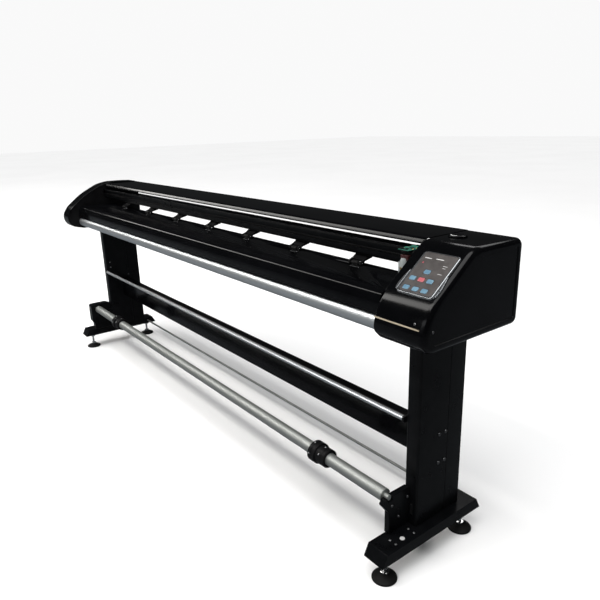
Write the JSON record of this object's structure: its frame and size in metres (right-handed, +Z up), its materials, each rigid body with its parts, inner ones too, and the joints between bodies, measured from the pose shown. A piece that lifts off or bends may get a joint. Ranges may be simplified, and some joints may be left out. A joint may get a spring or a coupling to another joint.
{
  "type": "vinyl cutter",
  "caption": "Wide floor-standing roll vinyl cutter with a gloss black bed, end housings, console, cutting carriage and take-up tube",
  "frame": {"origin": "centre of the footprint on the floor", "axes": "+X along the machine to the operator's right, -Y towards the operator, +Z up"},
  "size_m": [2.83, 0.462, 1.02],
  "materials": {
    "painted_frame": "satin powder coat",
    "gloss_black": "glossy moulded and painted skin",
    "satin_black": "satin moulded parts",
    "bright_metal": "drawn and lightly brushed",
    "steel": "ground steel",
    "black_rubber": "matt rubber",
    "panel_grey": "printed console film",
    "key_blue": "soft key caps",
    "key_red": "soft key cap",
    "board_green": "circuit board"
  },
  "bodies": {
    "body": {"foot_beam_left": "painted_frame", "foot_beam_right": "painted_frame", "column_left": "painted_frame", "column_right": "painted_frame", "lower_beam": "gloss_black", "tie_rod": "steel", "guide_rod": "bright_metal", "takeup_bracket": "painted_frame", "takeup_motor_box": "painted_frame", "bed_beam": "painted_frame", "platen": "gloss_black", "rail_beam": "painted_frame", "top_cover": "gloss_black", "housing_left": "gloss_black", "housing_right": "gloss_black", "side_plate_left": "satin_black", "side_plate_right": "satin_black", "feed_motor": "satin_black", "linear_rail": "painted_frame", "drive_belt": "black_rubber", "carriage_motor": "satin_black", "control_panel": "panel_grey", "power_inlet": "satin_black", "control_board": "board_green"},
    "levelling_foot_left_front": {"levelling_foot_left_front": "black_rubber"},
    "levelling_foot_left_rear": {"levelling_foot_left_rear": "black_rubber"},
    "levelling_foot_right_front": {"levelling_foot_right_front": "black_rubber"},
    "levelling_foot_right_rear": {"levelling_foot_right_rear": "black_rubber"},
    "takeup_tube": {"takeup_tube": "bright_metal"},
    "takeup_collar_left": {"takeup_collar_left": "satin_black"},
    "takeup_collar_right": {"takeup_collar_right": "satin_black"},
    "front_tube": {"front_tube": "bright_metal"},
    "feed_shaft": {"feed_shaft": "steel"},
    "pinch_arm_1": {"pinch_arm_1": "satin_black"},
    "pinch_roller_1": {"pinch_roller_1": "black_rubber"},
    "pinch_arm_2": {"pinch_arm_2": "satin_black"},
    "pinch_roller_2": {"pinch_roller_2": "black_rubber"},
    "pinch_arm_3": {"pinch_arm_3": "satin_black"},
    "pinch_roller_3": {"pinch_roller_3": "black_rubber"},
    "pinch_arm_4": {"pinch_arm_4": "satin_black"},
    "pinch_roller_4": {"pinch_roller_4": "black_rubber"},
    "pinch_arm_5": {"pinch_arm_5": "satin_black"},
    "pinch_roller_5": {"pinch_roller_5": "black_rubber"},
    "pinch_arm_6": {"pinch_arm_6": "satin_black"},
    "pinch_roller_6": {"pinch_roller_6": "black_rubber"},
    "pinch_arm_7": {"pinch_arm_7": "satin_black"},
    "pinch_roller_7": {"pinch_roller_7": "black_rubber"},
    "carriage": {"carriage": "satin_black"},
    "tool_holder": {"tool_holder": "bright_metal"},
    "drive_pulley": {"drive_pulley": "bright_metal"},
    "idler_pulley": {"idler_pulley": "bright_metal"},
    "key_up": {"key_up": "key_blue"},
    "key_left": {"key_left": "key_blue"},
    "key_stop": {"key_stop": "key_red"},
    "key_right": {"key_right": "key_blue"},
    "key_speed": {"key_speed": "key_blue"},
    "key_origin": {"key_origin": "key_blue"},
    "key_start": {"key_start": "key_blue"},
    "power_switch": {"power_switch": "satin_black"},
    "turn_knob": {"turn_knob": "gloss_black"}
  },
  "joints": [
    {"name": "levelling_foot_left_front_screw", "type": "slide", "parent": "body", "child": "levelling_foot_left_front", "axis": [0, 0, 1], "range_m": [-0.015, 0]},
    {"name": "levelling_foot_left_rear_screw", "type": "slide", "parent": "body", "child": "levelling_foot_left_rear", "axis": [0, 0, 1], "range_m": [-0.015, 0]},
    {"name": "levelling_foot_right_front_screw", "type": "slide", "parent": "body", "child": "levelling_foot_right_front", "axis": [0, 0, 1], "range_m": [-0.015, 0]},
    {"name": "levelling_foot_right_rear_screw", "type": "slide", "parent": "body", "child": "levelling_foot_right_rear", "axis": [0, 0, 1], "range_m": [-0.015, 0]},
    {"name": "takeup_tube_turn", "type": "hinge", "parent": "body", "child": "takeup_tube", "pos_m": [0, -0.136, 0.247], "axis": [1, 0, 0], "continuous": true},
    {"name": "takeup_collar_left_slide", "type": "slide", "parent": "takeup_tube", "child": "takeup_collar_left", "axis": [1, 0, 0], "range_m": [-0.3, 0.85]},
    {"name": "takeup_collar_right_slide", "type": "slide", "parent": "takeup_tube", "child": "takeup_collar_right", "axis": [1, 0, 0], "range_m": [-0.9, 0.24]},
    {"name": "front_tube_turn", "type": "hinge", "parent": "body", "child": "front_tube", "pos_m": [0, -0.14, 0.7975], "axis": [1, 0, 0], "continuous": true},
    {"name": "feed_shaft_turn", "type": "hinge", "parent": "body", "child": "feed_shaft", "pos_m": [0, 0.004, 0.88], "axis": [1, 0, 0], "continuous": true},
    {"name": "pinch_arm_1_lift", "type": "hinge", "parent": "body", "child": "pinch_arm_1", "pos_m": [-0.974, 0.046, 0.9225], "axis": [1, 0, 0], "range_deg": [-5, 0]},
    {"name": "pinch_roller_1_turn", "type": "hinge", "parent": "pinch_arm_1", "child": "pinch_roller_1", "pos_m": [-0.974, 0.004, 0.901], "axis": [1, 0, 0], "continuous": true},
    {"name": "pinch_arm_2_lift", "type": "hinge", "parent": "body", "child": "pinch_arm_2", "pos_m": [-0.651, 0.046, 0.9225], "axis": [1, 0, 0], "range_deg": [-5, 0]},
    {"name": "pinch_roller_2_turn", "type": "hinge", "parent": "pinch_arm_2", "child": "pinch_roller_2", "pos_m": [-0.651, 0.004, 0.901], "axis": [1, 0, 0], "continuous": true},
    {"name": "pinch_arm_3_lift", "type": "hinge", "parent": "body", "child": "pinch_arm_3", "pos_m": [-0.321, 0.046, 0.9225], "axis": [1, 0, 0], "range_deg": [-5, 0]},
    {"name": "pinch_roller_3_turn", "type": "hinge", "parent": "pinch_arm_3", "child": "pinch_roller_3", "pos_m": [-0.321, 0.004, 0.901], "axis": [1, 0, 0], "continuous": true},
    {"name": "pinch_arm_4_lift", "type": "hinge", "parent": "body", "child": "pinch_arm_4", "pos_m": [0.006, 0.046, 0.9225], "axis": [1, 0, 0], "range_deg": [-5, 0]},
    {"name": "pinch_roller_4_turn", "type": "hinge", "parent": "pinch_arm_4", "child": "pinch_roller_4", "pos_m": [0.006, 0.004, 0.901], "axis": [1, 0, 0], "continuous": true},
    {"name": "pinch_arm_5_lift", "type": "hinge", "parent": "body", "child": "pinch_arm_5", "pos_m": [0.32, 0.046, 0.9225], "axis": [1, 0, 0], "range_deg": [-5, 0]},
    {"name": "pinch_roller_5_turn", "type": "hinge", "parent": "pinch_arm_5", "child": "pinch_roller_5", "pos_m": [0.32, 0.004, 0.901], "axis": [1, 0, 0], "continuous": true},
    {"name": "pinch_arm_6_lift", "type": "hinge", "parent": "body", "child": "pinch_arm_6", "pos_m": [0.642, 0.046, 0.9225], "axis": [1, 0, 0], "range_deg": [-5, 0]},
    {"name": "pinch_roller_6_turn", "type": "hinge", "parent": "pinch_arm_6", "child": "pinch_roller_6", "pos_m": [0.642, 0.004, 0.901], "axis": [1, 0, 0], "continuous": true},
    {"name": "pinch_arm_7_lift", "type": "hinge", "parent": "body", "child": "pinch_arm_7", "pos_m": [0.966, 0.046, 0.9225], "axis": [1, 0, 0], "range_deg": [-5, 0]},
    {"name": "pinch_roller_7_turn", "type": "hinge", "parent": "pinch_arm_7", "child": "pinch_roller_7", "pos_m": [0.966, 0.004, 0.901], "axis": [1, 0, 0], "continuous": true},
    {"name": "carriage_travel", "type": "slide", "parent": "body", "child": "carriage", "axis": [1, 0, 0], "range_m": [-2.48, 0]},
    {"name": "tool_holder_lift", "type": "slide", "parent": "carriage", "child": "tool_holder", "axis": [0, 0, 1], "range_m": [-0.002, 0.006]},
    {"name": "drive_pulley_turn", "type": "hinge", "parent": "body", "child": "drive_pulley", "pos_m": [1.29, 0.013, 0.966], "axis": [0, 1, 0], "continuous": true},
    {"name": "idler_pulley_turn", "type": "hinge", "parent": "body", "child": "idler_pulley", "pos_m": [-1.345, 0.013, 0.966], "axis": [0, 1, 0], "continuous": true},
    {"name": "key_up_press", "type": "slide", "parent": "body", "child": "key_up", "axis": [0, -0.6101, 0.7923], "range_m": [-0.001, 0], "stiffness_N_per_m": 400},
    {"name": "key_left_press", "type": "slide", "parent": "body", "child": "key_left", "axis": [0, -0.6101, 0.7923], "range_m": [-0.001, 0], "stiffness_N_per_m": 400},
    {"name": "key_stop_press", "type": "slide", "parent": "body", "child": "key_stop", "axis": [0, -0.6101, 0.7923], "range_m": [-0.001, 0], "stiffness_N_per_m": 400},
    {"name": "key_right_press", "type": "slide", "parent": "body", "child": "key_right", "axis": [0, -0.6101, 0.7923], "range_m": [-0.001, 0], "stiffness_N_per_m": 400},
    {"name": "key_speed_press", "type": "slide", "parent": "body", "child": "key_speed", "axis": [0, -0.6101, 0.7923], "range_m": [-0.001, 0], "stiffness_N_per_m": 400},
    {"name": "key_origin_press", "type": "slide", "parent": "body", "child": "key_origin", "axis": [0, -0.6101, 0.7923], "range_m": [-0.001, 0], "stiffness_N_per_m": 400},
    {"name": "key_start_press", "type": "slide", "parent": "body", "child": "key_start", "axis": [0, -0.6101, 0.7923], "range_m": [-0.001, 0], "stiffness_N_per_m": 400},
    {"name": "power_switch_rock", "type": "hinge", "parent": "body", "child": "power_switch", "pos_m": [1.353, 0.226, 0.812], "axis": [1, 0, 0], "range_deg": [0, 14]},
    {"name": "turn_knob_turn", "type": "hinge", "parent": "body", "child": "turn_knob", "pos_m": [1.28, 0.108, 1.014], "axis": [0, 0, 1], "range_deg": [-90, 90]}
  ],
  "couplings": [
    {"joint": "pinch_roller_1_turn", "follows": "feed_shaft_turn", "ratio": -1.5875},
    {"joint": "pinch_roller_2_turn", "follows": "feed_shaft_turn", "ratio": -1.5875},
    {"joint": "pinch_roller_3_turn", "follows": "feed_shaft_turn", "ratio": -1.5875},
    {"joint": "pinch_roller_4_turn", "follows": "feed_shaft_turn", "ratio": -1.5875},
    {"joint": "pinch_roller_5_turn", "follows": "feed_shaft_turn", "ratio": -1.5875},
    {"joint": "pinch_roller_6_turn", "follows": "feed_shaft_turn", "ratio": -1.5875},
    {"joint": "pinch_roller_7_turn", "follows": "feed_shaft_turn", "ratio": -1.5875},
    {"joint": "drive_pulley_turn", "follows": "carriage_travel", "rad_per_m": -107.53},
    {"joint": "idler_pulley_turn", "follows": "carriage_travel", "rad_per_m": -107.53}
  ]
}
